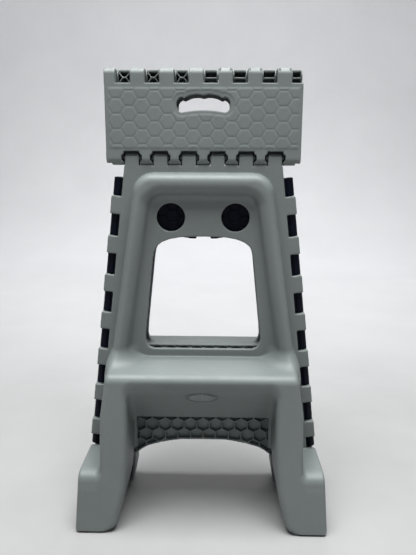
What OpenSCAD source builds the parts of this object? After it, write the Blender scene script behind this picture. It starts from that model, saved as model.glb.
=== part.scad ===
// Folding two-step stool in its folded, upright pose.
// +Z is up, +X is to the right, the lower step points towards -Y.
// The origin is on the floor, under the middle of the folded stool.

/* [Top] */
// Width of the top tread
top_w = 256; // [230:1:290]
// Distance from the leg hinge axis to the middle hinge axis of one top half
half_len = 104; // [90:1:120]
// Depth of the middle hinge axis below the tread face
half_t = 22; // [18:0.5:26]
// Thickness of the tread plate
tread_t = 3; // [2:0.5:4]
// Radius of the rounded lugs along the edges of the top
lug_r = 9.4; // [8:0.1:10]
// Width of one finger and its gap
finger_p = 18.9; // [16:0.1:22]
// Clearance on each side of a finger
finger_gap = 0.3; // [0.2:0.1:0.6]
// Height of the raised hexagons on the tread
relief_h = 0.6; // [0.3:0.1:1]
// Distance across the flats of a tread hexagon
tread_hex = 19.2; // [14:0.2:24]

/* [Legs] */
// Height of the leg hinge axis above the floor when folded
hinge_z = 503; // [440:1:560]
// Slant of a leg panel when the stool is open
slant = 5; // [3:0.5:8]
// Backward slope of the panel under the step
apron_tilt = 40; // [20:1:50]
// Sideways taper of the leg panels
taper = 6.7; // [4:0.1:9]
// Half distance between the side hinge axes at the height of the leg hinge
strip_x = 110.8; // [100:0.2:125]
// Distance of the side hinge axes from the middle plane when folded
strip_y = 7; // [6.8:0.1:9]
// Radius of the side hinge knuckles
knuckle_r = 6.6; // [5:0.1:6.7]
// Radius of the leg hinge knuckles
leg_knuckle_r = 6.2; // [5:0.1:7]
// Wall thickness of the leg panels
wall = 3.5; // [2.5:0.1:5]
// Radius of the two round holes in each leg panel
hole_r = 19; // [12:0.5:22]

/* [Feet] */
// Thickness of the rubber foot pads
pad_t = 2; // [1:0.5:4]
// Distance of the front feet from the middle plane
foot_front = 98.4; // [80:0.2:120]
// Distance of the back feet from the middle plane
foot_back = 60; // [50:0.5:80]

/* [Side panels] */
// Thickness of a side panel
side_t = 10; // [8:0.5:10]
// Depth of the honeycomb cells in a side panel
side_cell = 3; // [1:0.5:5]
// Radius of the middle knuckles of the side panels
side_knuckle_r = 5.9; // [4:0.1:6]

/* [Hidden] */
$fn = 64;
mid_y = 19.2;
tan_taper = tan(taper);
cos_taper = cos(taper);
sin_taper = sin(taper);
tan_slant = tan(slant);
mid_z = hinge_z + half_len;
top_z = mid_z + lug_r;
hinge_y = lug_r - half_t;
plate_front = hinge_y - leg_knuckle_r + 0.1;
plate_back = plate_front + wall;
leg_back = -14.3;
rim_front = -34;
rim_lean = 0.045;
apron_y = -83;
apron_z = 203;
apron_low = 140;
apron_end = apron_y + (apron_z - apron_low) * tan(apron_tilt);
pin_r = 3;
bore_r = 3.06;
mid_t0 = (half_len - (half_t - lug_r - strip_y) * cos(slant)) / cos(slant);
mid_grow = tan_slant * cos_taper;
mid_tilt = atan((sin_taper - mid_grow * cos_taper) / (cos_taper + mid_grow * sin_taper));
side_out = -strip_y - side_t / 2;
side_in = -strip_y + side_t / 2;
lug_pitch = 54.27;
lug_len = 28.8;
lug_gap = 0.5;
lug_first = 20.8;
grey = [0.36, 0.39, 0.39];
black = [0.03, 0.035, 0.05];
rubber = [0.08, 0.08, 0.085];

// A flat outline in x and z made into a slab between two y values.
module slab(y0, y1) {
    translate([0, y1, 0])
        rotate([90, 0, 0])
            linear_extrude(y1 - y0)
                children();
}

// A profile in y and z made into a bar between two x values.
module bar(x0, x1) {
    translate([x0, 0, 0])
        rotate([90, 0, 90])
            linear_extrude(x1 - x0)
                children();
}

// A round bar along x.
module rod(x0, x1, y, z, r) {
    translate([x0, y, z])
        rotate([0, 90, 0])
            cylinder(r = r, h = x1 - x0);
}

module both_sides() {
    children();
    mirror([1, 0, 0])
        children();
}

module in_place() {
    translate([0, mid_y, 0])
        children();
}

function strip_at(z) = strip_x + (hinge_z - z) * tan_taper;
function edge_at(z) = strip_at(z) - 6.95;
function mid_at(z) = strip_x + sin_taper * s_of(z) - cos_taper * (mid_t0 + mid_grow * s_of(z));
function s_of(z) = (hinge_z - z - sin_taper * mid_t0) / (cos_taper + mid_grow * sin_taper);

// Frame of the right side hinge: its axis is local z and local +x points outwards.
module strip_frame() {
    translate([strip_x, -strip_y, hinge_z])
        rotate([0, -taper, 0])
            children();
}

// Frame of the right middle side hinge, with its origin at height z.
module mid_frame(z) {
    translate([mid_at(z), 0, z])
        rotate([0, -mid_tilt, 0])
            children();
}

// A honeycomb of hexagonal holes, with flats apart by size and ribs of the given width.
module comb(size, rib, cols, rows, turned) {
    step = size + rib;
    rotate(turned ? 30 : 0)
        for (i = [-cols : cols])
            for (j = [-rows : rows])
                translate([i * step * cos(30), (j + (i % 2 == 0 ? 0 : 0.5)) * step])
                    circle(d = size / cos(30), $fn = 6);
}

// ---------- top halves ----------

// The hand hole: an arched slot with shallow finger scallops along its upper edge.
module hand_hole() {
    top_pts = [for (x = [-33 : 1.5 : 33]) [x, 583.4 - 0.0042 * x * x - 1.7 * pow(abs(cos(x * 7.35)), 6)]];
    low_pts = [for (x = [33 : -3 : -33]) [x, 562 - 0.0026 * x * x]];
    offset(r = -1.2)
        offset(r = 7.2)
            offset(r = -6)
                polygon(concat(top_pts, [[35, 573]], low_pts, [[-35, 573]]));
}

function finger_l(k) = k == 0 ? -top_w / 2 : -6 * finger_p + (2 * k - 1) * finger_p;
function finger_r(k) = -6 * finger_p + 2 * k * finger_p;

// Outline of the tread plate with its notches and pockets.
module tread_outline() {
    difference() {
        polygon([[-top_w / 2, hinge_z], [-top_w / 2, mid_z + 1.4], [top_w / 2, mid_z + 1.4], [top_w / 2, hinge_z]]);
        hand_hole();
        for (k = [0 : 5])
            translate([finger_r(k) - finger_gap, mid_z - 9.4])
                square([finger_p + 2 * finger_gap, 30]);
        translate([finger_r(6) - finger_gap, mid_z - 9.4])
            square([40, 30]);
        for (k = [-5 : 2 : 5])
            translate([k * finger_p - 9.8, hinge_z - 20])
                square([19.6, 28.8]);
    }
}

// Raised hexagons of the tread.
module tread_relief() {
    intersection() {
        translate([3.6, 558.7])
            comb(tread_hex - 0.9, 0.9, 9, 4, false);
        difference() {
            translate([-top_w / 2 + 3.5, hinge_z + 11])
                square([top_w - 7, 78]);
            offset(r = 4)
                hand_hole();
        }
    }
}

// Section of a finger wall in y and z.
module finger_side() {
    difference() {
        union() {
            translate([0, mid_z])
                circle(r = lug_r);
            polygon([[-half_t + 1, mid_z - 12], [-half_t + 1, mid_z + 1.4], [-14, mid_z + lug_r], [0, mid_z + lug_r], [0, mid_z - 9.4]]);
        }
        translate([-30, mid_z - 29.2])
            square([60, 20]);
    }
}

// Outer skin of a finger in y and z, rounded over the top.
module finger_skin() {
    difference() {
        union() {
            translate([-half_t, mid_z - 11])
                square([tread_t, 12.4]);
            translate([-half_t + 8, mid_z + 1.4])
                circle(r = 8);
            translate([-half_t + 8, mid_z + lug_r - tread_t])
                square([half_t - 8, tread_t]);
        }
        translate([-half_t + 8, mid_z + 1.4])
            circle(r = 8 - tread_t);
        translate([-half_t + tread_t, mid_z - 20])
            square([12, 21.4]);
        translate([-half_t + 8, mid_z - 20])
            square([20, 20 + lug_r - tread_t]);
    }
}

// A finger with straight walls, a cross rib and hinge pins.
module finger_h(x0, x1, pin_left, pin_right) {
    c = (x0 + x1) / 2;
    w = min(6.4, (x1 - x0) / 2 - 3);
    bar(x0, x1)
        finger_skin();
    for (sx = [-1, 1])
        bar(c + sx * w - 1.2, c + sx * w + 1.2)
            finger_side();
    translate([c - w, -8, mid_z - 2.2])
        cube([2 * w, half_t - 12, 1.6]);
    translate([c - w, -half_t + 1, mid_z - 2.2])
        cube([2 * w, 14, 1.6]);
    if (pin_left)
        rod(x0 - 2.0, c - w, 0, mid_z, pin_r);
    if (pin_right)
        rod(c + w, x1 + 2.0, 0, mid_z, pin_r);
}

// A finger with crossed ribs and two thin hub plates with bores.
module finger_x_type(x0, x1) {
    c = (x0 + x1) / 2;
    bar(x0, x1)
        finger_skin();
    difference() {
        union() {
            for (sx = [-1, 1])
                translate([c + sx * 8.35, 0, 0])
                    bar(-0.8, 0.8) {
                        translate([0, mid_z])
                            circle(r = 5.4);
                        translate([-half_t + 1, mid_z - 4])
                            square([half_t - 1, 8]);
                    }
            translate([c, 0, mid_z])
                slab(-half_t + 1, 6)
                    x_ribs();
        }
        for (sx = [-1, 1])
            rod(c + sx * 8.4 - 1.2, c + sx * 8.4 + 1.2, 0, mid_z, bore_r);
    }
}

module x_ribs() {
    for (sx = [-1, 1])
        scale([sx, 1]) {
            polygon([[6.1, 8.6], [6.1, 4.4], [1.7, -0.8], [2.6, -1.7], [7.5, 4], [7.5, 8.6]]);
            polygon([[1.5, -1.2], [6.6, -8.4], [7.8, -8.4], [2.6, -0.6]]);
        }
    translate([-2.6, -2])
        square([5.2, 1.4]);
}

// Recess in a lug for the cone-shaped boss of a leg knuckle, open towards the tread face.
module boss_recess(x, dir) {
    translate([x, hinge_y, hinge_z]) {
        rotate([0, dir * 90, 0])
            cylinder(r1 = 3.45, r2 = 1.7625, h = 3);
        slab(-20, -2.2)
            polygon([[0, -6], [dir * 3.9, -2.2], [dir * 3.9, 2.2], [0, 6]]);
    }
}

module top_lug(x0, x1, left, right) {
    difference() {
        union() {
            rod(x0, x1, hinge_y, hinge_z, lug_r);
            translate([x0, -half_t, hinge_z])
                cube([x1 - x0, 2 * lug_r - 2, 10]);
        }
        if (left)
            boss_recess(x0, 1);
        if (right)
            boss_recess(x1, -1);
    }
}

module top_half() {
    slab(-half_t, -half_t + tread_t)
        tread_outline();
    slab(-half_t - relief_h, -half_t + 1)
        tread_relief();
    for (k = [-4 : 2 : 4])
        top_lug(k * finger_p - 9.1, k * finger_p + 9.1, true, true);
    difference() {
        union() {
            top_lug(5 * finger_p + 9.8, top_w / 2, true, false);
            top_lug(-top_w / 2, -5 * finger_p - 9.8, false, true);
        }
        for (sx = [-1, 1])
            translate([sx * (top_w / 2 - 3.5) - 3.5, -40, hinge_z - 14])
                cube([7, 60, 7]);
    }
    translate([-top_w / 2, -half_t + 1, hinge_z + 7.2])
        cube([top_w, half_t - 1.6, 3]);
    translate([-top_w / 2, -half_t + 1, mid_z - 14.2])
        cube([top_w, half_t - 1.6, 3]);
    for (sx = [-1, 1])
        translate([sx * (top_w / 2 - 1.5) - 1.5, -half_t + 1, hinge_z + 1])
            cube([3, half_t - 1.6, mid_z - hinge_z - 12.2]);
    for (x = [-88, -56, 56, 88])
        translate([x - 1, -half_t + 1, hinge_z + 9])
            cube([2, half_t - 4, mid_z - hinge_z - 20]);
    for (x = [-18.9, 18.9])
        translate([x - 1, -half_t + 1, hinge_z + 9])
            cube([2, half_t - 4, 48]);
    slab(-half_t + 1, -0.6)
        difference() {
            offset(r = 2.5)
                hand_hole();
            hand_hole();
        }
    for (k = [0 : 3])
        finger_h(finger_l(k) + (k == 0 ? 0 : finger_gap), finger_r(k) - finger_gap, k > 0, k < 3);
    for (k = [4 : 6])
        finger_x_type(finger_l(k) + finger_gap, finger_r(k) - finger_gap);
}

module top_front() {
    color(grey)
        in_place()
            top_half();
}

module top_back() {
    color(grey)
        in_place()
            rotate([0, 0, 180])
                top_half();
}

// ---------- leg panels ----------

// The large opening with its arched top.
module opening() {
    offset(r = 9)
        offset(r = -9)
            polygon([
                [-81, 238.8], [-80.6, 262], [-69, 372], [-67.6, 378.4], [-58, 389.5], [-45, 395.2], [-30, 397.8],
                [0, 398.7],
                [30, 397.8], [45, 395.2], [58, 389.5], [67.6, 378.4], [69, 372], [80.6, 262], [81, 238.8]
            ]);
}

module round_holes() {
    for (sx = [-1, 1])
        translate([sx * 43.6, 424.7])
            circle(r = hole_r);
}

// The flat web between the side strips, down to the given height.
module web_outline(low) {
    difference() {
        polygon([
            [-edge_at(hinge_z - 10.2), hinge_z - 10.2], [edge_at(hinge_z - 10.2), hinge_z - 10.2],
            [edge_at(low), low], [-edge_at(low), low]
        ]);
        opening();
        round_holes();
    }
}

// Outer outline of the raised rim, taken down to the given height.
module rim_outer(low, inset) {
    half_top = 93.8 - inset;
    half_low = 93.8 + (483 - low) * 0.13 - inset;
    polygon(concat(
        [[-half_low, low]],
        [for (a = [180 : -10 : 90]) [-half_top + 27 + 27 * cos(a), 483 - inset - 27 + 27 * sin(a)]],
        [for (a = [90 : -10 : 0]) [half_top - 27 + 27 * cos(a), 483 - inset - 27 + 27 * sin(a)]],
        [[half_low, low]]
    ));
}

// Inner outline of the raised rim.
module rim_inner(low, grow) {
    half_top = 70.4 + grow;
    half_low = 70.4 + (453 - low) * 0.137 + grow;
    polygon(concat(
        [[-half_low, low]],
        [for (a = [180 : -10 : 90]) [-half_top + 16 + 16 * cos(a), 453 + grow - 16 + 16 * sin(a)]],
        [for (a = [90 : -10 : 0]) [half_top - 16 + 16 * cos(a), 453 + grow - 16 + 16 * sin(a)]],
        [[half_low, low]]
    ));
}

// Leans the rim out towards the floor.
module leaning() {
    multmatrix([[1, 0, 0, 0], [0, 1, rim_lean, -rim_lean * 483], [0, 0, 1, 0], [0, 0, 0, 1]])
        children();
}

// The space inside the rim, which widens towards the front.
module rim_slope(low, grow) {
    hull() {
        slab(-60, -59.9)
            rim_inner(low, grow + 17.3);
        slab(plate_front - 0.1, plate_front)
            rim_inner(low, grow);
    }
}

// The hollow behind the rim, open at the back of the panel.
module rim_channel(low) {
    difference() {
        leaning()
            slab(rim_front + wall, 60)
                rim_outer(low, 6);
        rim_slope(low - 1, 4);
        slab(plate_front - 0.1, 60)
            rim_inner(low - 1, 4);
    }
}

// The raised rim: rounded outside, sloped inside, hollow behind. Its face leans out towards the floor.
module rim(low) {
    difference() {
        leaning()
            hull() {
                slab(rim_front, rim_front + 0.1)
                    rim_outer(low, 9.5);
                slab(rim_front + 0.6, rim_front + 0.7)
                    rim_outer(low, 7);
                slab(rim_front + 2.2, rim_front + 2.3)
                    rim_outer(low, 4);
                slab(rim_front + 5.5, rim_front + 5.6)
                    rim_outer(low, 1.4);
                slab(rim_front + 11, rim_front + 45)
                    rim_outer(low, 0);
            }
        rim_slope(low - 1, 0);
        translate([-200, plate_back, 0])
            cube([400, 60, 600]);
    }
}

// Knuckles and pins of the side hinge that belong to a leg panel.
module strip_lugs() {
    strip_frame()
        for (i = [0 : 6]) {
            s0 = lug_first + i * lug_pitch + lug_len + lug_gap;
            s1 = lug_first + (i + 1) * lug_pitch - lug_gap;
            translate([0, 0, -s1])
                cylinder(r = knuckle_r, h = s1 - s0);
            translate([-8.5, plate_front + strip_y, -s1])
                cube([8.5 + knuckle_r, wall, s1 - s0]);
            translate([0, plate_front + strip_y + 1, -s1])
                cube([knuckle_r, -plate_front - strip_y - 1, s1 - s0]);
            translate([0, 0, -s1 - 2.2])
                cylinder(r = pin_r, h = s1 - s0 + 4.4);
        }
}

// Knuckles of the hinge to the top, with cone-shaped bosses on both sides.
module leg_knuckles() {
    for (k = [-5 : 2 : 5]) {
        x = k * finger_p;
        rod(x - 9.3, x + 9.3, hinge_y, hinge_z, leg_knuckle_r);
        translate([x - 9.3, plate_front, hinge_z - 16])
            cube([18.6, wall, 16]);
        for (sx = [-1, 1])
            translate([x + sx * 9.2, hinge_y, hinge_z])
                rotate([0, sx * 90, 0])
                    cylinder(r1 = 3.7, r2 = 1.9, h = 3.2);
    }
}

// Outline of one leg from the knee down, for the right side.
module leg_outline() {
    polygon([
        [99.5, 165], [99.7, 130], [100.5, 98], [103.5, 60], [109.5, 32], [114, 14], [118, 6], [128, -2],
        [172.6, -2], [166.3, 85], [137.2, 85], [136.4, 127], [135.4, 165], [127.7, 221], [126, 240], [99.5, 240]
    ]);
}

module foot_outline() {
    polygon([[105, 87], [103.5, 60], [109.5, 32], [114, 14], [118, 6], [128, -2], [172.6, -2], [166.3, 87]]);
}

// Side view of the front of the legs and of the step, moved inwards by inset and ending at back.
module step_side(inset, back) {
    nose_y = -75;
    nose_z = 213.5;
    difference() {
        union() {
            polygon([
                [10, nose_z + 9 + 85 * tan_slant - inset], [nose_y, nose_z + 9 - inset], [nose_y - 9 + inset, nose_z],
                [-foot_front + inset, pad_t + inset], [10, pad_t + inset + (foot_front + 10) * tan_slant]
            ]);
            translate([nose_y, nose_z])
                circle(r = 9 - inset);
        }
        translate([back, -20])
            square([60, 300]);
    }
}

// Side view of the back legs, moved inwards by inset and ending at back.
module back_side(inset, back) {
    difference() {
        polygon([
            [10, 238.8 - inset], [-47.5 + inset, 238.8 - inset], [-foot_back + inset, pad_t + inset],
            [10, pad_t + inset + (foot_back + 10) * tan_slant]
        ]);
        translate([back, -20])
            square([60, 300]);
    }
}

// Limits a foot block to its rounded top.
module foot_top(front, inset) {
    translate([-200, -10])
        square([300, 80 - inset]);
    translate([front + 21, -10])
        square([300, 97 - inset]);
    translate([front + 21, 70])
        circle(r = 17 - inset);
}

// Step, knees and legs of the front panel as one body; inset gives its inner space.
module front_lower_body(inset, back) {
    intersection() {
        slab(-120, 0)
            offset(delta = -inset) {
                both_sides()
                    leg_outline();
                translate([-126, 165])
                    square([252, 75]);
                translate([-101, apron_low - 5])
                    square([202, 60]);
            }
        bar(-180, 180)
            step_side(inset, back);
    }
    intersection() {
        slab(-120, 0)
            offset(delta = -inset)
                both_sides()
                    foot_outline();
        bar(-180, 180)
            intersection() {
                step_side(inset, back);
                foot_top(-foot_front, inset);
            }
    }
}

// Side view of the deep pocket under the step.
module pocket_side() {
    polygon([
        [apron_y - 50 * tan(apron_tilt), apron_z + 50], [apron_end, apron_low], [20, apron_low], [20, -30],
        [-150, -30], [-150, apron_z + 50]
    ]);
}

module front_lower() {
    difference() {
        front_lower_body(0, leg_back);
        difference() {
            front_lower_body(wall, leg_back + 1);
            bar(-99.5 - wall, 99.5 + wall)
                offset(delta = wall)
                    pocket_side();
        }
        bar(-99.5, 99.5)
            pocket_side();
    }
}

module front_leg_panel_body() {
    difference() {
        union() {
            slab(plate_front, plate_back)
                web_outline(86);
            rim(205);
            slab(plate_front - 2, plate_back)
                translate([-97, 224])
                    square([194, 13.4]);
        }
        slab(-120, 10)
            opening();
        slab(plate_front - 1, 10)
            translate([-96, 60])
                square([192, 130]);
        rim_channel(219);
        slab(-78, -22)
            translate([-122, 205])
                square([244, 14]);
    }
    slab(plate_front, -12.9)
        difference() {
            offset(r = 2.5)
                opening();
            opening();
        }
    front_lower();
    strip_lugs();
    leg_knuckles();
}

module front_leg_panel() {
    color(grey)
        in_place()
            front_leg_panel_body();
}

// Arch between the back legs.
module arch() {
    polygon([
        [-107, -20], [-105.5, 30], [-104.5, 52], [-101.2, 65], [-92.1, 72.3], [-82.9, 77.4], [-64.5, 83],
        [-46.2, 86.6], [-32, 88.6],
        [0, 89],
        [32, 88.6], [46.2, 86.6], [64.5, 83], [82.9, 77.4], [92.1, 72.3], [101.2, 65], [104.5, 52], [105.5, 30],
        [107, -20]
    ]);
}

// Outline of the honeycomb panel between the back legs.
module comb_outline() {
    difference() {
        polygon([
            [-86, 238.8], [-92, 200], [-105, 150], [-106.3, 110], [-108, 60],
            [108, 60], [106.3, 110], [105, 150], [92, 200], [86, 238.8]
        ]);
        arch();
    }
}

module back_lower_outline() {
    difference() {
        union() {
            both_sides()
                leg_outline();
            translate([-126, 60])
                square([252, 180]);
        }
        arch();
    }
}

module back_lower_body(inset, back) {
    intersection() {
        slab(-120, 0)
            offset(delta = -inset)
                back_lower_outline();
        bar(-180, 180)
            back_side(inset, back);
    }
    intersection() {
        slab(-120, 0)
            offset(delta = -inset)
                both_sides()
                    foot_outline();
        bar(-180, 180)
            intersection() {
                back_side(inset, back);
                foot_top(-foot_back, inset);
            }
    }
}

// The back panel, drawn facing -Y like the front one.
module back_leg_panel_body() {
    difference() {
        union() {
            slab(plate_front, plate_back)
                difference() {
                    web_outline(86);
                    arch();
                }
            rim(235);
        }
        slab(-120, 10)
            opening();
        rim_channel(241);
    }
    slab(plate_front, -12.9)
        difference() {
            offset(r = 2.5)
                opening();
            opening();
        }
    difference() {
        back_lower_body(0, leg_back);
        back_lower_body(wall, leg_back + 1);
        slab(-44, -20)
            difference() {
                translate([-96, 92])
                    square([192, 140]);
                opening();
            }
    }
    slab(-8, -5)
        comb_outline();
    slab(-5, -1)
        difference() {
            comb_outline();
            translate([0, 112])
                comb(17.6, 1.4, 8, 9, true);
        }
    slab(-16, -6)
        difference() {
            comb_outline();
            offset(delta = -3)
                comb_outline();
        }
    strip_lugs();
    leg_knuckles();
}

module back_leg_panel() {
    color(grey)
        in_place()
            mirror([0, 1, 0])
                back_leg_panel_body();
}

// ---------- folding side panels ----------

// Outline of the right side half when folded against a leg panel.
module side_outline() {
    polygon([
        [strip_at(478) - 8.6, 478], [mid_at(478) + 2.5, 478], [mid_at(403) + 2.5, 403], [41, 401.5], [58, 396],
        [71, 384], [74.5, 370], [84.5, 265], [88.5, 239], [95, 200], [108, 150], [115, 110], [118, 87.8],
        [strip_at(87.8) - 8.6, 87.8]
    ]);
}

// The front half of the right side panel, with middle knuckles at the places in picks.
module side_half(picks) {
    difference() {
        slab(side_out, side_in)
            side_outline();
        slab(side_out - 1, side_out + side_cell)
            intersection() {
                offset(delta = -3)
                    side_outline();
                translate([70, 424.7])
                    comb(14.6, 1.4, 8, 22, false);
            }
        for (j = [0 : 3])
            mid_frame(474)
                translate([-4, -20, -20 * (j + 1) - 0.9])
                    cube([14.3, 40, 21.8]);
    }
    for (j = picks)
        mid_frame(474) {
            translate([0, 0, -20 * (j + 1) + 0.4])
                cylinder(r = side_knuckle_r, h = 19.2);
            translate([0.8, side_out + 0.1, -20 * (j + 1) + 0.4])
                cube([10, -side_out - 1, 19.2]);
        }
    strip_frame()
        for (i = [0 : 7]) {
            s0 = i == 0 ? 25.7 : lug_first + i * lug_pitch;
            s1 = i == 7 ? 417.6 : lug_first + i * lug_pitch + lug_len;
            difference() {
                union() {
                    translate([0, 0, -s1])
                        cylinder(r = knuckle_r - 0.3, h = s1 - s0);
                    translate([-9, -side_t / 2 + 0.1, -s1])
                        cube([9, side_t - 0.2, s1 - s0]);
                }
                translate([0, 0, -s1 - 0.1])
                    cylinder(r = bore_r, h = 2.8);
                translate([0, 0, -s0 - 2.7])
                    cylinder(r = bore_r, h = 2.8);
            }
        }
}

module side_right_front() {
    color(black)
        in_place()
            side_half([0, 2]);
}

module side_left_front() {
    color(black)
        in_place()
            mirror([1, 0, 0])
                side_half([0, 2]);
}

module side_right_back() {
    color(black)
        in_place()
            mirror([0, 1, 0])
                side_half([1, 3]);
}

module side_left_back() {
    color(black)
        in_place()
            mirror([1, 0, 0])
                mirror([0, 1, 0])
                    side_half([1, 3]);
}

// ---------- small pieces ----------

module badge() {
    color(grey)
        in_place()
            translate([0, apron_y, apron_z])
                rotate([apron_tilt, 0, 0])
                    translate([0, 0, -19.4])
                        slab(-1.2, 0)
                            scale([22.3, 12])
                                circle(r = 1);
}

// A foot pad on the right, lying in the sole of a foot whose toe is at front.
module foot_pad(front, depth) {
    intersection() {
        linear_extrude(30)
            translate([133, -front + 4])
                offset(r = 5)
                    offset(delta = -5)
                        square([35, depth]);
        bar(100, 200)
            polygon([
                [-front, -4 * tan_slant], [-front + 90, 86 * tan_slant], [-front + 90, 90 * tan_slant + pad_t - 0.02],
                [-front, pad_t - 0.02]
            ]);
    }
}

module pad_front_right() {
    color(rubber)
        in_place()
            foot_pad(foot_front, 70);
}

module pad_front_left() {
    color(rubber)
        in_place()
            mirror([1, 0, 0])
                foot_pad(foot_front, 70);
}

module pad_back_right() {
    color(rubber)
        in_place()
            mirror([0, 1, 0])
                foot_pad(foot_back, 36);
}

module pad_back_left() {
    color(rubber)
        in_place()
            mirror([1, 0, 0])
                mirror([0, 1, 0])
                    foot_pad(foot_back, 36);
}

front_leg_panel();
back_leg_panel();
top_front();
top_back();
side_left_front();
side_left_back();
side_right_front();
side_right_back();
badge();
pad_front_left();
pad_front_right();
pad_back_left();
pad_back_right();
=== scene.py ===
import math

import bpy
import numpy as np
import openvdb
from mathutils import Matrix, Vector


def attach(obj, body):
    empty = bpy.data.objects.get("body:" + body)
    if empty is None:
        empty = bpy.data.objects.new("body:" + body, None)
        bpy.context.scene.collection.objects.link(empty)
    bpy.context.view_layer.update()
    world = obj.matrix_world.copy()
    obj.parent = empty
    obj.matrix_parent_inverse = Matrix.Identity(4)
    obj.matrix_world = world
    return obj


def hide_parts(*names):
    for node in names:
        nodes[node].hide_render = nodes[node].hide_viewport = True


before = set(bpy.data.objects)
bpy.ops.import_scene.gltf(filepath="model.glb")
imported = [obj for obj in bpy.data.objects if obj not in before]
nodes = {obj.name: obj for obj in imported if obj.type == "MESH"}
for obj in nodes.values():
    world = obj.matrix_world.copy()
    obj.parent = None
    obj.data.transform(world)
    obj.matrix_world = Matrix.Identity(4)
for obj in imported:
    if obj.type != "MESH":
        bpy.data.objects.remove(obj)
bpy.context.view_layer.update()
scene = bpy.context.scene


# ---------- camera ----------

def make_camera(location, pitch, yaw, roll, lens):
    """The camera at location in metres; pitch looks down, yaw turns left and roll tips left, in degrees."""
    data = bpy.data.cameras.new("camera")
    data.lens = lens
    data.sensor_width = 36
    data.clip_end = 60
    cam = bpy.data.objects.new("camera", data)
    scene.collection.objects.link(cam)
    p, a, r = math.radians(pitch), math.radians(yaw), math.radians(roll)
    forward = Vector((-math.sin(a) * math.cos(p), math.cos(a) * math.cos(p), -math.sin(p)))
    right = Vector((math.cos(a), math.sin(a), 0))
    up = right.cross(forward)
    right2 = right * math.cos(r) + up * math.sin(r)
    up2 = up * math.cos(r) - right * math.sin(r)
    rot = Matrix((right2, up2, -forward)).transposed().to_4x4()
    cam.matrix_world = Matrix.Translation(location) @ rot
    scene.camera = cam


make_camera((0.0215, -0.7393, 0.4963), pitch=11.76, yaw=1.13, roll=0.25, lens=35.58)


# ---------- sizes ----------
# In millimetres: x to the right, y back from the folding plane and z up from the floor.

WALL = 3.5
MID_Y = 19.2                                # the folding plane, behind the frame's origin
HINGE_Y, HINGE_Z = -12.6, 503.0             # the hinge between a leg panel and its half of the top
MID_Z = 607.0                               # the hinge between the halves of the top
FINGER_PITCH = 18.9                         # of the knuckles, lugs and fingers
PIN_R, BORE_R = 3.0, 3.06
CONE_SLOPE = 0.5625                         # of the cone-shaped bosses on the knuckles, and their recesses

# leg panels
TAPER = math.radians(6.7)                   # of the posts, seen from the front
SLANT = math.tan(math.radians(5))           # of the soles and of the step's top
STRIP_X, STRIP_Y = 110.8, -7.0              # the side hinge, at the height of the top's hinge
SIDE_LUG_FIRST, SIDE_LUG_PITCH, SIDE_LUG_LEN = 20.8, 54.27, 28.8
SIDE_KNUCKLES, SIDE_KNUCKLE_R = 7, 6.6
PLATE_FRONT, PLATE_BACK, LEG_BACK = -18.7, -15.2, -14.3
LIP_Y, LIP_HALF, LIP_REACH = -15.8, 2.9, 2.6
HOLE_X, HOLE_Z, HOLE_R = 43.6, 424.7, 19.0
RIM_TOP, RIM_Y, RIM_LEAN, RIM_SLOPE = 483, -34, 0.045, 0.42
FRONT_RIM_LOW, BACK_RIM_LOW = 205, 236
FRONT_TOE, BACK_TOE = 98.4, 60.0
APRON_Y, APRON_Z, APRON_LOW, APRON_TILT = -83.0, 203.0, 140.0, math.radians(40)
COMB_PITCH, COMB_Z, COMB_RIB = 19.0, 112, 0.95
KNUCKLE_R, KNUCKLE_HALF = 6.2, 9.3
KNUCKLES = (1, 3, 5)                        # places of the knuckles, counted in finger pitches
TROUGHS = (0, 2, 4)                         # places of the troughs between them

# top halves
TOP_W, HALF_T = 256.0, 22.0
LUG_R, LUG_HALF = 9.4, 8.6
NOTCH_HALF = 10.3
FINGER_GAP, FINGER_LOW = 0.3, 10
HEX_PITCH, HEX_X, HEX_Z = 19.2, 3.6, 558.7
HUB_X = 8.4                                 # from a hub finger's middle to its bored plates

# badge
BADGE_X, BADGE_Z = 22.3, 12
BADGE_DOWN = 0.0194                         # down the slope from APRON_Y, APRON_Z, in metres

# grids of the meshes
PANEL_GRID, TOP_GRID, BADGE_GRID = 1.25, 0.8, 0.35


# ---------- solids as distance fields ----------

class Space:
    """The points of a box of space: x and z seen from the front, side_y and side_z from the side."""

    def __init__(self, xs, ys, zs):
        self.axes = xs, ys, zs
        self.x, self.z = np.meshgrid(xs, zs, indexing="ij")
        self.side_y, self.side_z = np.meshgrid(ys, zs, indexing="ij")
        self.y = ys[None, :, None]

    def outline(self, points):
        """What lies inside an outline drawn from the front."""
        return flat(polygon_distance(self.x, self.z, points))

    def profile(self, points):
        """What lies inside an outline drawn from the side."""
        return side(polygon_distance(self.side_y, self.side_z, points))

    def from_axis(self, y, z):
        """Distance from the line along x through y and z, seen from the side."""
        return np.hypot(self.side_y - y, self.side_z - z)


def flat(a):
    """A shape seen from the front, the same at every y."""
    return a[:, None, :]


def side(a):
    """A shape seen from the side, the same at every x."""
    return a[None, :, :]


def span(a, low, high):
    """Distance from the stretch between low and high."""
    return np.abs(a - (low + high) / 2) - (high - low) / 2


def polygon_distance(u, v, corners):
    """Signed distance, negative inside, from the points (u, v) to a closed polygon."""
    best = np.full(u.shape, 1e12, np.float32)
    inside = np.zeros(u.shape, bool)
    for (ax, ay), (bx, by) in zip(corners, corners[1:] + corners[:1]):
        ex, ey = bx - ax, by - ay
        wx, wy = u - ax, v - ay
        t = np.clip((wx * ex + wy * ey) / (ex * ex + ey * ey + 1e-12), 0, 1)
        best = np.minimum(best, (wx - ex * t) ** 2 + (wy - ey * t) ** 2)
        if ey != 0:
            inside ^= ((ay > v) != (by > v)) & (u < ax + ex * (v - ay) / ey)
    return (np.where(inside, -1, 1) * np.sqrt(best)).astype(np.float32)


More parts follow.
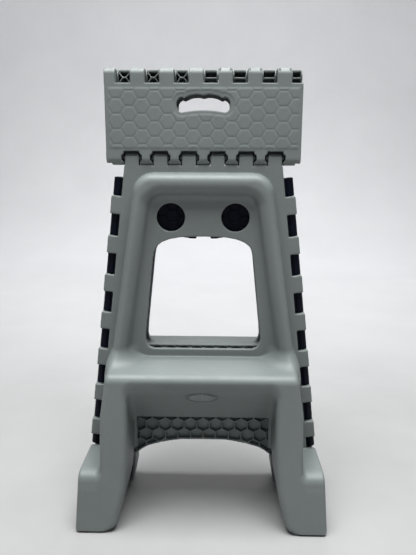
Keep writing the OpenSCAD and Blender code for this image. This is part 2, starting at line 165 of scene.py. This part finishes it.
def cut(a, b, r=0.0):
    """What lies in both a and b, its edge rounded to the radius r."""
    if isinstance(r, (int, float)) and r == 0:
        return np.maximum(a, b)
    return np.minimum(-r, np.maximum(a, b)) + np.hypot(np.maximum(r + a, 0), np.maximum(r + b, 0))


def join(a, b, r=0.0):
    """What lies in a or b, their corner filled to the radius r."""
    if isinstance(r, (int, float)) and r == 0:
        return np.minimum(a, b)
    return np.maximum(r, np.minimum(a, b)) - np.hypot(np.maximum(r - a, 0), np.maximum(r - b, 0))


# ---------- leg panels ----------

def edge_at(z):
    """Half the width of the flat plate at the height z."""
    return STRIP_X + (HINGE_Z - z) * math.tan(TAPER) - 6.95


def arc(cx, cz, r, start, end, steps=10):
    """Points of an arc round (cx, cz), with its angles in degrees."""
    turns = [math.radians(start + (end - start) * i / steps) for i in range(steps + 1)]
    return [(cx + r * math.cos(a), cz + r * math.sin(a)) for a in turns]


def both(points):
    """A closed outline from its right half, which is listed from the top down."""
    return points + [(-x, z) for x, z in reversed(points)]


OPENING = both([(0.01, 398.7), (30, 397.8), (45, 395.2), (56, 391), (63.5, 385), (67.5, 377), (69.2, 368),
                (80.0, 268), (81, 253), (79.5, 246), (76, 241.3), (70, 238.8)])
RIM_OUTER = both([(0.01, RIM_TOP)] + arc(66.8, 456, 27, 90, 0) + [(129.9, 205)])
RIM_INNER = both([(0.01, 453)] + arc(54.4, 437, 16, 90, 0) + [(104.4, 205)])
WEB = both([(edge_at(492.8), 492.8), (edge_at(86), 86)])
LEGS_OUTER = both([(126, 240), (127.7, 221), (135.4, 165), (136.6, 127), (137.4, 85), (139, -2)])
BOOT = [(104, 92), (104, -3), (172.6, -3), (172.4, 0), (166.3, 87), (166, 92)]
FRONT_GAP = both([(0.01, 260), (99.5, 260), (99.5, 165), (99.7, 130), (100.5, 98),
                  (103.5, 60), (109.5, 32), (114, 14), (118, 6), (128, -2), (128, -40)])
BACK_GAP = both([(0.01, 89), (32, 88.6), (46.2, 86.6), (64.5, 83), (82.9, 77.4), (92.1, 72.3), (101.2, 65),
                 (104.5, 52), (105.5, 30), (109, 12), (114, 4), (122, -2), (122, -40)])
BACK_COMB = both([(86, 238.8), (92, 200), (105, 150), (106.3, 110), (108, 60)])


def hexagons(u, v, pitch, pointed):
    """Distance from the nearest edge of a honeycomb, 0 on the edges and pitch / 2 at the middles."""
    if pointed:
        u, v = v, u
    row = pitch * math.sqrt(3) / 2
    best = None
    for shift in (0, 1):
        cu = (np.round(u / (2 * row) - shift / 2) + shift / 2) * 2 * row
        cv = (np.round(v / pitch - shift / 2) + shift / 2) * pitch
        du, dv = np.abs(u - cu), np.abs(v - cv)
        d = np.maximum(dv, du * math.sqrt(3) / 2 + dv / 2)
        best = d if best is None else np.minimum(best, d)
    return pitch / 2 - best


def plate_part(space, opening):
    """The flat plate, with a turned-in lip round the opening."""
    plate = cut(space.outline(WEB), np.abs(space.y - (PLATE_FRONT + PLATE_BACK) / 2) - WALL / 2, 0.8)
    return join(plate, cut(opening - LIP_REACH, np.abs(space.y - LIP_Y) - LIP_HALF, 1))


def rim_part(space, inner, low):
    """The rounded rim, leaning out towards the floor and ending at the height low, and its hollow."""
    front = RIM_Y - RIM_LEAN * (RIM_TOP - space.side_z)
    rim = cut(space.outline(RIM_OUTER), side(front - space.side_y), 11)
    rim = cut(rim, (-inner + RIM_SLOPE * (PLATE_FRONT - space.y)) / math.hypot(1, RIM_SLOPE), 10)
    rim = np.maximum(rim, low - flat(space.z))
    return np.maximum(rim, space.y - PLATE_BACK), rim + WALL


def legs_part(space, front):
    """Legs and feet with the step, or the plain front, between them; their hollow; and the gap below."""
    toe = FRONT_TOE if front else BACK_TOE
    if front:
        points = [(60, 222.5 + 135 * SLANT)] + arc(-72, 210.5, 12, 90, 180)
    else:
        points = [(60, 238.8), (-44.5, 238.8), (-46.6, 238), (-47.6, 235.8)]
    profile = space.profile(points + [(-toe, 2), (60, 2 + (60 + toe) * SLANT)])
    boot_top = [(60, 87)] + arc(21 - toe, 70, 17, 90, 180) + [(-toe - 2, 50), (-toe - 4, -10), (60, -10)]
    boot = cut(space.outline(BOOT), profile, 5)
    boot = cut(boot, space.profile(boot_top), 3)
    body = cut(join(cut(space.outline(LEGS_OUTER), profile, 6), boot, 6), profile)
    gap = space.outline(FRONT_GAP if front else BACK_GAP)
    if front:
        down = (space.side_z - APRON_Z) * math.sin(APRON_TILT)
        slope = (space.side_y - APRON_Y) * math.cos(APRON_TILT) + down
        slope = np.minimum(slope, space.side_z - APRON_LOW)
        gap = cut(gap, side(slope), 9)
    legs = cut(body, -gap, 9 if front else 5)
    return np.maximum(legs, space.y - LEG_BACK), legs + WALL, gap


def comb_part(space, gap):
    """The honeycomb between the back legs: its border, floor and ribs."""
    tray = np.maximum(space.outline(BACK_COMB), -gap)
    cells = flat(hexagons(space.x, space.z - COMB_Z, COMB_PITCH, True)) - COMB_RIB
    floor = np.maximum(tray, np.abs(space.y + 8.7) - 1.5)
    ribs = np.maximum(np.maximum(tray, cells), np.abs(space.y + 4.8) - 4)
    border = np.maximum(np.maximum(tray, -tray - 3), np.abs(space.y + 8.5) - 7.5)
    return np.minimum(border, np.minimum(floor, ribs))


def with_top_knuckles(space, whole):
    """Adds the knuckles of the hinge to the top, and the troughs under the lugs between them."""
    axis = space.from_axis(HINGE_Y, HINGE_Z)
    tongue = np.maximum(np.abs(space.y - PLATE_FRONT - WALL / 2) - WALL / 2, flat(np.abs(space.z - 495) - 8))
    for place in KNUCKLES:
        along = flat(np.abs(space.x - place * FINGER_PITCH))
        whole = join(whole, cut(side(axis) - KNUCKLE_R, along - KNUCKLE_HALF, 0.7))
        whole = join(whole, np.maximum(tongue, along - KNUCKLE_HALF))
        cone = side(axis) - 3.7 + CONE_SLOPE * np.maximum(along - 9.2, 0)
        whole = join(whole, np.maximum(cone, along - 12.4))
    trough = np.maximum(np.abs(space.side_y + 12.2) - 6.2, np.abs(space.side_z - 490.1) - 5.1)
    trough = side(np.maximum(trough, LUG_R + 0.4 - axis))
    for place in TROUGHS:
        whole = join(whole, np.maximum(trough, flat(np.abs(space.x - place * FINGER_PITCH)) - 8.2))
    return whole


def add_side_knuckles(space, whole, step):
    """Adds the knuckles of the side hinge, with pins at their ends, to the outer part of the field."""
    first_x, first_y = int(90 / step), int((-22 - space.axes[1][0]) / step)
    dx, dz = space.x[first_x:] - STRIP_X, space.z[first_x:] - HINGE_Z
    down = flat(dx * math.sin(TAPER) - dz * math.cos(TAPER))
    out = flat(dx * math.cos(TAPER) + dz * math.sin(TAPER))
    back = space.y[:, first_y:] - STRIP_Y
    barrel = np.hypot(out, back)
    leaf = np.maximum(np.abs(out - 3.3) - 3.3, np.abs(back + 5.35) - 5.35)
    root = np.maximum(np.abs(out + 0.95) - 7.55, np.abs(back + 9.95) - 1.75)
    lug = np.minimum(np.minimum(barrel - SIDE_KNUCKLE_R, leaf), root)
    strip = whole[first_x:, first_y:]
    for i in range(SIDE_KNUCKLES):
        top = SIDE_LUG_FIRST + i * SIDE_LUG_PITCH + SIDE_LUG_LEN + 0.5
        bottom = SIDE_LUG_FIRST + (i + 1) * SIDE_LUG_PITCH - 0.5
        along = np.abs(down - (top + bottom) / 2) - (bottom - top) / 2
        strip = np.minimum(strip, cut(lug, along, 0.6))
        strip = np.minimum(strip, np.maximum(barrel - PIN_R, along - 2.2))
    whole[first_x:, first_y:] = strip


def panel_field(front, step):
    """Distance field of the right half of a leg panel, as it stands facing -Y."""
    xs = np.arange(0, 176, step, dtype=np.float32)
    ys = np.arange(-102 if front else -64, 2, step, dtype=np.float32)
    zs = np.arange(-2, 513, step, dtype=np.float32)
    space = Space(xs, ys, zs)
    opening, inner = space.outline(OPENING), space.outline(RIM_INNER)
    holes = flat(np.hypot(space.x - HOLE_X, space.z - HOLE_Z)) - HOLE_R

    plate = plate_part(space, opening)
    rim, rim_hollow = rim_part(space, inner, FRONT_RIM_LOW if front else BACK_RIM_LOW)
    legs, legs_hollow, gap = legs_part(space, front)
    if front:
        plate = np.maximum(plate, -flat(np.maximum(np.maximum(space.x - 96, 60 - space.z), space.z - 190)))
    else:
        plate = np.maximum(plate, -gap)

    # the posts run into the step in a wide curve, which also swells backwards behind the step
    whole = join(rim, legs, 24 if front else 6)
    whole = np.maximum(whole, -np.minimum(rim_hollow, legs_hollow))

    # the rim is filleted to the plate on its inner side
    plate = np.maximum(plate, -rim_hollow)
    inside = np.clip((8 - inner) / 4, 0, 1) * flat(np.clip((space.z - 232) / 8, 0, 1))
    whole = join(whole, plate, 1 + 6 * inside)
    whole = np.maximum(whole, -opening)
    whole = cut(whole, -holes, 0.8)

    if not front:
        whole = np.minimum(whole, comb_part(space, gap))
    whole = with_top_knuckles(space, whole)
    add_side_knuckles(space, whole, step)
    return space.axes, whole


def mesh_from_field(name, axes, field, step, mirrored=True, place=None):
    """The zero surface of a field as a mesh in metres; mirrored fields hold only the half with x above 0."""
    start = np.array([a[0] for a in axes], float)
    if mirrored:
        field = np.concatenate([field[:0:-1], field], axis=0)
        start[0] = -axes[0][-1]
    grid = openvdb.FloatGrid(4.0)
    grid.copyFromArray(np.ascontiguousarray(np.clip(field, -4, 4), dtype=np.float32), tolerance=0.0)
    points, _, quads = grid.convertToPolygons(isovalue=0.0, adaptivity=0.0)
    points = points * step + start
    flip = False
    if place is not None:
        points = points @ np.array(place, float).T
        flip = np.linalg.det(np.array(place, float)) < 0
    points[:, 1] += MID_Y
    if not flip:
        quads = quads[:, ::-1]
    count = len(quads)
    mesh = bpy.data.meshes.new(name)
    mesh.vertices.add(len(points))
    mesh.vertices.foreach_set("co", (points * 0.001).astype(np.float32).ravel())
    mesh.loops.add(4 * count)
    mesh.loops.foreach_set("vertex_index", quads.astype(np.int32).ravel())
    mesh.polygons.add(count)
    mesh.polygons.foreach_set("loop_start", np.arange(count, dtype=np.int32) * 4)
    mesh.update(calc_edges=True)
    mesh.shade_smooth()
    obj = bpy.data.objects.new(name, mesh)
    scene.collection.objects.link(obj)
    return obj


# ---------- top halves ----------

class Top:
    """The field of a top half while it is built up from bars along x."""

    def __init__(self, space):
        self.space = space
        self.field = np.full([len(axis) for axis in space.axes], 20, np.float32)

    def reach(self, x0, x1):
        """The range of the grid around x0 to x1, and how far each x in it is from them."""
        xs = self.space.axes[0]
        first, last = np.searchsorted(xs, (x0 - 5, x1 + 5))
        return first, last, span(xs[first:last], x0, x1)[:, None, None]

    def add(self, x0, x1, shape, r=0.4, fill=0.0):
        """Adds a bar between x0 and x1 whose section is shape, with its ends rounded to r."""
        first, last, along = self.reach(x0, x1)
        self.field[first:last] = join(self.field[first:last], cut(side(shape), along, r), fill)

    def remove(self, x0, x1, shape):
        """Cuts away a bar between x0 and x1 whose section is shape."""
        first, last, along = self.reach(x0, x1)
        self.field[first:last] = np.maximum(self.field[first:last], -np.maximum(side(shape), along))

    def block(self, y0, y1, z0, z1):
        """A rectangular section."""
        return np.maximum(span(self.space.side_y, y0, y1), span(self.space.side_z, z0, z1))


def hand_hole():
    """Outline of the hand hole: finger scallops above, round ends and a shallow curve below."""
    def scallop(x):
        return 583.4 - 0.0055 * x * x - 1.7 * abs(math.cos(math.radians(x * 7.35))) ** 6

    upper = [(x, scallop(x)) for x in range(-26, 27)]
    lower = [(x, 563.6 - 0.0033 * x * x) for x in range(26, -27, -2)]
    right = arc(26.3, 571.3, 8.3, 80, 10) + arc(27.4, 568, 7.1, 0, -95)
    left = [(-x, z) for x, z in reversed(right)]
    return upper + right + lower + left


def add_tread(top, hole):
    """Adds the tread plate with its raised hexagons, and the walls at its left and right ends."""
    space, x, y, z = top.space, top.space.x, top.space.y, top.space.z
    edges = hexagons(x - HEX_X, z - HEX_Z, HEX_PITCH, False)
    ring = np.clip(edges / 2.4, 0, 1)
    pillow = 0.5 * ring * (2 - ring) + 0.12
    area = np.maximum(np.maximum(np.abs(x) - 124.5, np.abs(z - 553) - 39), 4 - hole)
    pillow = pillow * np.clip(-area / 2.5, 0, 1)
    face = flat(-HALF_T - pillow) - y
    outline = np.maximum(span(x, -TOP_W / 2, TOP_W / 2), span(z, HINGE_Z, MID_Z + 1.4))
    tread = np.maximum(np.maximum(face, y + HALF_T - 3), flat(outline))
    top.field = np.minimum(top.field, tread)

    past_end = flat(np.abs(x) - TOP_W / 2)
    wall = cut(cut(past_end, -HALF_T - y, 3), flat(span(z, HINGE_Z - 6, MID_Z - 9)), 0.5)
    wall = np.maximum(np.maximum(wall, flat(TOP_W / 2 - 3 - np.abs(x))), y + 0.7)
    top.field = np.minimum(top.field, wall)
    top.field = np.maximum(top.field, np.minimum(cut(past_end, -HALF_T - 0.8 - y, 3), 5))


def add_ribs(top, hole):
    """Adds the ribs behind the tread and the wall round the hand hole, and cuts the hole."""
    end = TOP_W / 2 - 0.6
    for low in (HINGE_Z + 7.2, MID_Z - 14.2):
        top.add(-end, end, top.block(-HALF_T + 1, -0.6, low, low + 3))
    for x in (-88, -56, 56, 88):
        top.add(x - 1, x + 1, top.block(-HALF_T + 1, -3, HINGE_Z + 9, MID_Z - 11))
    for x in (-FINGER_PITCH, FINGER_PITCH):
        top.add(x - 1, x + 1, top.block(-HALF_T + 1, -3, HINGE_Z + 9, HINGE_Z + 57))
    wall = np.maximum(flat(hole - 2.5), np.abs(top.space.y + 10.8) - 10.2)
    top.field = np.minimum(top.field, np.maximum(wall, flat(top.space.z - 570)))
    top.field = cut(top.field, -flat(hole), 1.2)


def add_lugs(top):
    """Cuts the notches for the knuckles and adds the lugs between them, with recesses for the cones."""
    space = top.space
    axis = space.from_axis(HINGE_Y, HINGE_Z)
    notches = [place * FINGER_PITCH for place in range(-5, 6, 2)]
    for x in notches:
        top.remove(x - NOTCH_HALF, x + NOTCH_HALF, top.block(-30, 20, HINGE_Z - 30, HINGE_Z + 8.8))

    lug = np.minimum(axis - LUG_R, top.block(-HALF_T, -HALF_T + 2 * LUG_R - 2, HINGE_Z, HINGE_Z + 10))
    for place in range(-4, 5, 2):
        x = place * FINGER_PITCH
        top.add(x - LUG_HALF, x + LUG_HALF, lug, 0.7)
        top.add(x - 9.4, x + 9.4, np.maximum(lug, -8.4 - space.side_y), 0.2)
    last = 5 * FINGER_PITCH + NOTCH_HALF
    for x0, x1 in ((-TOP_W / 2, -last), (last, TOP_W / 2)):
        top.add(x0, x1, lug, 1.2)
    for x0, x1 in ((-TOP_W / 2 - 2, -TOP_W / 2 + 7), (TOP_W / 2 - 7, TOP_W / 2 + 2)):
        top.remove(x0, x1, top.block(-40, 40, 480, 496.2))

    for x in notches:
        for way in (-1, 1):
            along = way * (space.x - x) - NOTCH_HALF
            cone = side(axis) - 3.15 + CONE_SLOPE * flat(along)
            recess = np.maximum(cone, flat(span(along, -1, 2.4)))
            narrowing = np.abs(space.z - HINGE_Z) - 6 + along * 0.97
            slot = np.maximum(flat(np.maximum(span(along, -1, 3.2), narrowing)), space.y + 8.7)
            top.field = np.maximum(top.field, -np.minimum(recess, slot))
        top.add(x - 10.2, x + 10.2, top.block(-5.9, -3.2, HINGE_Z - 1.2, HINGE_Z + 10))


def add_pin_finger(top, number, left, right, cheek):
    """Adds the inside of a finger with pins: its cheeks, a fin between them, and pins into its neighbours."""
    pin = top.space.from_axis(0, MID_Z) - PIN_R
    middle = (left + right) / 2
    reach = (right - left) / 2 - 0.8
    for way in (-1, 1):
        top.add(middle + way * reach - 0.8, middle + way * reach + 0.8, cheek, 0.2)
    top.add(middle - reach, middle + reach, top.block(-HALF_T + 1, 2, MID_Z - 2.2, MID_Z - 0.6), 0.3)
    if number > 0:
        top.add(left - 2, middle - reach, pin)
    if number < 3:
        top.add(middle + reach, right + 2, pin)


def add_hub_finger(top, left, right, cheek):
    """Adds the inside of a finger with bores: hubs, cheeks and crossed ribs."""
    space = top.space
    axis = space.from_axis(0, MID_Z)
    hub = np.minimum(axis - 5.4, top.block(-HALF_T + 1, 0, MID_Z - 4, MID_Z + 4))
    middle = (left + right) / 2
    for way in (-1, 1):
        top.add(middle + way * 8.35 - 0.8, middle + way * 8.35 + 0.8, hub, 0.2)
    for way in (-1, 1):
        top.add(middle + way * HUB_X - 0.75, middle + way * HUB_X + 0.75, cheek, 0.2)

    out, up = np.abs(space.x - middle), space.z - MID_Z
    bent = [(6.1, 8.6), (6.1, 4.4), (1.7, -0.8), (2.6, -1.7), (7.5, 4), (7.5, 8.6)]
    upper_rib = polygon_distance(out, up, bent)
    lower_rib = polygon_distance(out, up, [(1.5, -1.2), (6.6, -8.4), (7.8, -8.4), (2.6, -0.6)])
    crossing = np.maximum(out - 2.6, np.abs(up + 1.3) - 0.7)
    ribs = np.minimum(np.minimum(upper_rib, lower_rib), crossing)
    first, last = np.searchsorted(space.axes[0], (middle - 12, middle + 12))
    part = np.maximum(flat(ribs), np.abs(space.y + 7.5) - 13.5)
    top.field[first:last] = np.minimum(top.field, part)[first:last]
    for way in (-1, 1):
        top.remove(middle + way * HUB_X - 1.2, middle + way * HUB_X + 1.2, axis - BORE_R)


def add_fingers(top):
    """Cuts the gaps of the middle hinge and adds its fingers: four with pins, then three with bores."""
    y, z = top.space.side_y, top.space.side_z
    gap = top.block(-40, 40, MID_Z - FINGER_LOW, 640)
    tip = top.space.from_axis(0, MID_Z) - LUG_R + 0.4
    outer = cut(-HALF_T - y, z - MID_Z - LUG_R + 0.4, 8)
    skin = np.maximum(np.maximum(outer, -outer - 3), np.maximum(MID_Z - 11 - z, y))
    cheek = np.minimum(tip, np.maximum(outer + 0.5, np.maximum(MID_Z - 12 - z, y)))
    cheek = np.maximum(cheek, MID_Z - 9.2 - z)
    for number in range(6):
        start = -6 * FINGER_PITCH + 2 * number * FINGER_PITCH
        top.remove(start - FINGER_GAP, start + FINGER_PITCH + FINGER_GAP, gap)
    top.remove(6 * FINGER_PITCH - FINGER_GAP, TOP_W, gap)
    for number in range(7):
        right = -6 * FINGER_PITCH + 2 * number * FINGER_PITCH - FINGER_GAP
        left = -TOP_W / 2 if number == 0 else right - FINGER_PITCH + 2 * FINGER_GAP
        top.add(left, right, skin, 0.7)
        if number < 4:
            add_pin_finger(top, number, left, right, cheek)
        else:
            add_hub_finger(top, left, right, cheek)


def top_field(step):
    """Distance field of the front half of the top, folded."""
    xs = np.arange(-TOP_W / 2 - 1.5, TOP_W / 2 + 2, step, dtype=np.float32)
    ys = np.arange(-24, 11, step, dtype=np.float32)
    zs = np.arange(492, 618.5, step, dtype=np.float32)
    top = Top(Space(xs, ys, zs))
    hole = polygon_distance(top.space.x, top.space.z, hand_hole())
    add_tread(top, hole)
    add_ribs(top, hole)
    add_lugs(top)
    add_fingers(top)
    return top.space.axes, top.field


# ---------- badge ----------

def badge_field(step):
    """Distance field of the plain oval badge, lying flat in the plane y = 0 and facing -Y."""
    xs, ys, zs = (np.arange(lo, hi, step, dtype=np.float32) for lo, hi in ((-24, 24), (-3, 1.5), (-14, 14)))
    x3, y3, z3 = xs[:, None, None], ys[None, :, None], zs[None, None, :]
    reach = (np.hypot(x3 / BADGE_X, z3 / BADGE_Z) - 1) * BADGE_Z
    plate = cut(reach, np.abs(y3 + 0.5) - 0.7, 0.4)
    plate = np.maximum(plate, -np.maximum(np.abs(reach + 1.5) - 0.9, y3))
    dome = np.sqrt(x3 ** 2 + (y3 - 1.2) ** 2 + z3 ** 2) - 3.4
    return (xs, ys, zs), np.minimum(plate, np.maximum(dome, y3)).astype(np.float32)


# ---------- materials ----------

class Graph:
    """A small helper that builds the nodes of one material."""

    def __init__(self, name):
        self.material = bpy.data.materials.new(name)
        self.material.use_nodes = True
        self.tree = self.material.node_tree
        self.tree.nodes.clear()
        self.out = self.add("ShaderNodeOutputMaterial")
        self.shader = self.add("ShaderNodeBsdfPrincipled")
        self.link(self.shader.outputs["BSDF"], self.out.inputs["Surface"])
        self.where = self.add("ShaderNodeTexCoord").outputs["Object"]

    def add(self, kind, **values):
        """A new node, with its settings."""
        node = self.tree.nodes.new(kind)
        for key, value in values.items():
            setattr(node, key, value)
        return node

    def link(self, a, b):
        self.tree.links.new(a, b)

    def noise(self, scale, detail=2.0, rough=0.5, stretch=None):
        """A cloudy pattern fixed to the object, squeezed along each axis by stretch."""
        node = self.add("ShaderNodeTexNoise")
        node.inputs["Scale"].default_value = scale
        node.inputs["Detail"].default_value = detail
        node.inputs["Roughness"].default_value = rough
        where = self.where
        if stretch:
            mapping = self.add("ShaderNodeMapping")
            mapping.inputs["Scale"].default_value = stretch
            self.link(self.where, mapping.inputs["Vector"])
            where = mapping.outputs["Vector"]
        self.link(where, node.inputs["Vector"])
        return node.outputs["Fac"]

    def span(self, value, low, high, to_low, to_high):
        """The value, with the range low to high mapped to the range to_low to to_high."""
        node = self.add("ShaderNodeMapRange")
        node.inputs["From Min"].default_value = low
        node.inputs["From Max"].default_value = high
        node.inputs["To Min"].default_value = to_low
        node.inputs["To Max"].default_value = to_high
        self.link(value, node.inputs["Value"])
        return node.outputs["Result"]

    def math(self, how, a, b):
        """A sum, product or other operation on two values, each a number or a socket."""
        node = self.add("ShaderNodeMath", operation=how)
        for socket, value in zip(node.inputs, (a, b)):
            if isinstance(value, (int, float)):
                socket.default_value = value
            else:
                self.link(value, socket)
        return node.outputs["Value"]

    def mix(self, factor, a, b, how="MIX"):
        """Two colours mixed by factor."""
        node = self.add("ShaderNodeMix", data_type="RGBA", blend_type=how)
        for socket, value in ((node.inputs["Factor"], factor), (node.inputs["A"], a), (node.inputs["B"], b)):
            if isinstance(value, tuple):
                socket.default_value = (*value, 1)
            elif isinstance(value, (int, float)):
                socket.default_value = value
            else:
                self.link(value, socket)
        return node.outputs["Result"]

    def bump(self, height, strength, distance, normal=None):
        """A normal with the relief of height, laid over the given normal."""
        node = self.add("ShaderNodeBump")
        node.inputs["Strength"].default_value = strength
        node.inputs["Distance"].default_value = distance
        self.link(height, node.inputs["Height"])
        if normal is not None:
            self.link(normal, node.inputs["Normal"])
        return node.outputs["Normal"]

    def edge(self, radius):
        """A rounded normal, and how far it turns from the real one: 0 on a flat face, 1 at a sharp edge."""
        bevel = self.add("ShaderNodeBevel", samples=6)
        bevel.inputs["Radius"].default_value = radius
        geometry = self.add("ShaderNodeNewGeometry")
        dot = self.add("ShaderNodeVectorMath", operation="DOT_PRODUCT")
        self.link(bevel.outputs["Normal"], dot.inputs[0])
        self.link(geometry.outputs["Normal"], dot.inputs[1])
        turn = self.span(dot.outputs["Value"], 0.75, 0.995, 1.0, 0.0)
        return bevel.outputs["Normal"], turn


EDGE_WEAR = 0.14    # how much of the wear's colour a fully worn edge takes


def plastic(name, dark, light, rough, wear, grain=0.5, radius=0.0012, specular=0.5):
    """Moulded plastic, clouded between dark and light, with a fine grain and edges worn to wear."""
    g = Graph(name)
    cloud = g.span(g.noise(7, 4, 0.6), 0.3, 0.7, 0.0, 1.0)
    colour = g.mix(cloud, dark, light)
    speck = g.span(g.noise(1400, 1), 0.35, 0.65, 0.94, 1.05)
    speck_rgb = g.add("ShaderNodeCombineColor")
    for socket in speck_rgb.inputs[:3]:
        g.link(speck, socket)
    colour = g.mix(1.0, colour, speck_rgb.outputs["Color"], "MULTIPLY")
    normal, turn = g.edge(radius)
    scuff = g.span(g.noise(45, 5, 0.65), 0.52, 0.75, 0.0, 1.0)
    worn = g.math("MULTIPLY", turn, g.math("ADD", g.math("MULTIPLY", scuff, 0.8), 0.2))
    colour = g.mix(g.math("MULTIPLY", worn, EDGE_WEAR), colour, wear)
    g.link(colour, g.shader.inputs["Base Color"])
    streak = g.span(g.noise(60, 4, 0.6, (1, 1, 0.25)), 0.3, 0.7, rough - 0.05, rough + 0.06)
    g.link(streak, g.shader.inputs["Roughness"])
    g.shader.inputs["Specular IOR Level"].default_value = specular
    g.shader.inputs["IOR"].default_value = 1.49
    peel = g.bump(g.noise(170, 3), 0.12, 0.0006, normal)
    fine = g.bump(g.noise(2600, 2), grain, 0.00012, peel)
    g.link(fine, g.shader.inputs["Normal"])
    return g.material


grey = plastic("grey_plastic", dark=(0.140, 0.160, 0.156), light=(0.160, 0.182, 0.178), rough=0.52,
               wear=(0.27, 0.29, 0.285))
black = plastic("black_plastic", dark=(0.0018, 0.0028, 0.0085), light=(0.0028, 0.0040, 0.0115), rough=0.42,
                wear=(0.02, 0.022, 0.03), specular=0.12)
badge = plastic("badge_plastic", dark=(0.18, 0.197, 0.193), light=(0.2, 0.218, 0.214), rough=0.2,
                wear=(0.3, 0.3, 0.3), grain=0.1, radius=0.0008)
rubber = plastic("pad_rubber", dark=(0.02, 0.02, 0.021), light=(0.03, 0.03, 0.031), rough=0.8,
                 wear=(0.06, 0.06, 0.06), grain=0.8, specular=0.3)


def assign(obj, material):
    """Gives the object one material."""
    obj.data.materials.clear()
    obj.data.materials.append(material)


def material_of(name):
    """The material of the CAD node called name."""
    for start, material in (("side", black), ("pad", rubber), ("badge", badge)):
        if name.startswith(start):
            return material
    return grey


for name, obj in nodes.items():
    assign(obj, material_of(name))


# ---------- visible pieces ----------

MIRROR_Y = ((1, 0, 0), (0, -1, 0), (0, 0, 1))       # the back leg panel faces the other way
TURN = ((-1, 0, 0), (0, -1, 0), (0, 0, 1))          # the back half of the top is turned end for end


def show(obj, node, body):
    """The piece stands for a CAD node and moves with its body."""
    assign(obj, grey)
    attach(obj, body)
    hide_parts(node)


for front, name in ((True, "front"), (False, "back")):
    axes, field = panel_field(front, PANEL_GRID)
    place = None if front else MIRROR_Y
    panel = mesh_from_field(name + "_leg_moulding", axes, field, PANEL_GRID, place=place)
    show(panel, name + "_leg_panel", name + "_legs")

badge_plate = mesh_from_field("badge_plate", *badge_field(BADGE_GRID), BADGE_GRID, mirrored=False)
slope_top = Matrix.Translation((0, (APRON_Y + MID_Y) / 1000, APRON_Z / 1000))
on_slope = slope_top @ Matrix.Rotation(APRON_TILT, 4, "X")
badge_plate.data.transform(on_slope @ Matrix.Translation((0, -MID_Y / 1000, -BADGE_DOWN)))
assign(badge_plate, badge)
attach(badge_plate, "front_legs")
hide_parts("badge")

axes, field = top_field(TOP_GRID)
for name, place in (("front", None), ("back", TURN)):
    top = mesh_from_field(name + "_top_moulding", axes, field, TOP_GRID, mirrored=False, place=place)
    show(top, "top_" + name, name + "_top")


# ---------- floor and light ----------

def make_floor():
    """A pale floor that sweeps up into a wall behind the stool; its far part glows faintly as painted light.
    """
    bend, radius, tall, half = 1.6, 1.2, 6.0, 9.0
    profile = [(-half, 0.0)]
    for a in np.linspace(0, math.pi / 2, 25):
        profile.append((bend + radius * math.sin(a), radius - radius * math.cos(a)))
    profile.append((bend + radius, tall))
    corners = [(x, y, z) for y, z in profile for x in (-half, half)]
    faces = [(2 * i, 2 * i + 1, 2 * i + 3, 2 * i + 2) for i in range(len(profile) - 1)]
    mesh = bpy.data.meshes.new("floor")
    mesh.from_pydata(corners, [], faces)
    mesh.shade_smooth()
    floor = bpy.data.objects.new("floor", mesh)
    scene.collection.objects.link(floor)
    g = Graph("floor")
    tone = g.span(g.noise(3, 5, 0.6), 0.3, 0.7, 0.0, 1.0)
    depth = g.add("ShaderNodeSeparateXYZ")
    g.link(g.where, depth.inputs[0])
    floor_tone = g.mix(tone, (0.29, 0.287, 0.29), (0.33, 0.327, 0.33))
    wall_tone = g.mix(tone, (0.66, 0.66, 0.68), (0.70, 0.70, 0.72))
    fade = g.span(depth.outputs["Y"], 0.3, 1.9, 0.0, 1.0)
    g.link(g.mix(fade, floor_tone, wall_tone), g.shader.inputs["Base Color"])
    # painted light: the floor glows more the further it lies from the middle, up to half strength, and the
    # glow fades out towards the wall
    reach = g.add("ShaderNodeVectorMath", operation="LENGTH")
    g.link(g.where, reach.inputs[0])
    far_glow = g.span(reach.outputs["Value"], 1.3, 3.6, 0.0, 0.5)
    floor_glow = g.math("MULTIPLY", far_glow, g.math("SUBTRACT", 1.0, fade))
    g.shader.inputs["Emission Color"].default_value = (1, 1, 1.02, 1)
    g.link(floor_glow, g.shader.inputs["Emission Strength"])
    g.shader.inputs["Roughness"].default_value = 0.85
    assign(floor, g.material)


def area_light(name, location, target, size, power, colour=(1, 1, 1)):
    """A rectangular light at location that points at target."""
    data = bpy.data.lights.new(name, "AREA")
    data.shape = "RECTANGLE"
    data.size, data.size_y = size
    data.energy = power
    data.color = colour
    lamp = bpy.data.objects.new(name, data)
    lamp.location = location
    lamp.rotation_mode = "QUATERNION"
    lamp.rotation_quaternion = (Vector(target) - Vector(location)).to_track_quat("-Z", "Y")
    scene.collection.objects.link(lamp)


def make_world():
    """A weak pale light from all round, which the camera sees at full strength."""
    pale = (0.66, 0.675, 0.69, 1)
    world = bpy.data.worlds.new("world")
    scene.world = world
    world.use_nodes = True
    tree = world.node_tree
    background = tree.nodes["Background"]
    background.inputs["Color"].default_value = pale
    background.inputs["Strength"].default_value = 0.25
    seen = tree.nodes.new("ShaderNodeBackground")
    seen.inputs["Color"].default_value = pale
    pick = tree.nodes.new("ShaderNodeMixShader")
    path = tree.nodes.new("ShaderNodeLightPath")
    tree.links.new(path.outputs["Is Camera Ray"], pick.inputs[0])
    tree.links.new(background.outputs[0], pick.inputs[1])
    tree.links.new(seen.outputs[0], pick.inputs[2])
    tree.links.new(pick.outputs[0], tree.nodes["World Output"].inputs["Surface"])


make_floor()
area_light("top_light", (0.0, -0.36, 2.4), (0, 0.1, 0.3), (1.7, 1.3), 122, (0.985, 1.0, 0.99))
area_light("back_light", (0.2, 1.5, 2.0), (0, 0.05, 0.25), (1.2, 0.8), 15)
area_light("front_light", (-0.3, -2.6, 1.5), (0, 0, 0.4), (1.6, 1.2), 2)
make_world()
scene.view_settings.view_transform = "Standard"
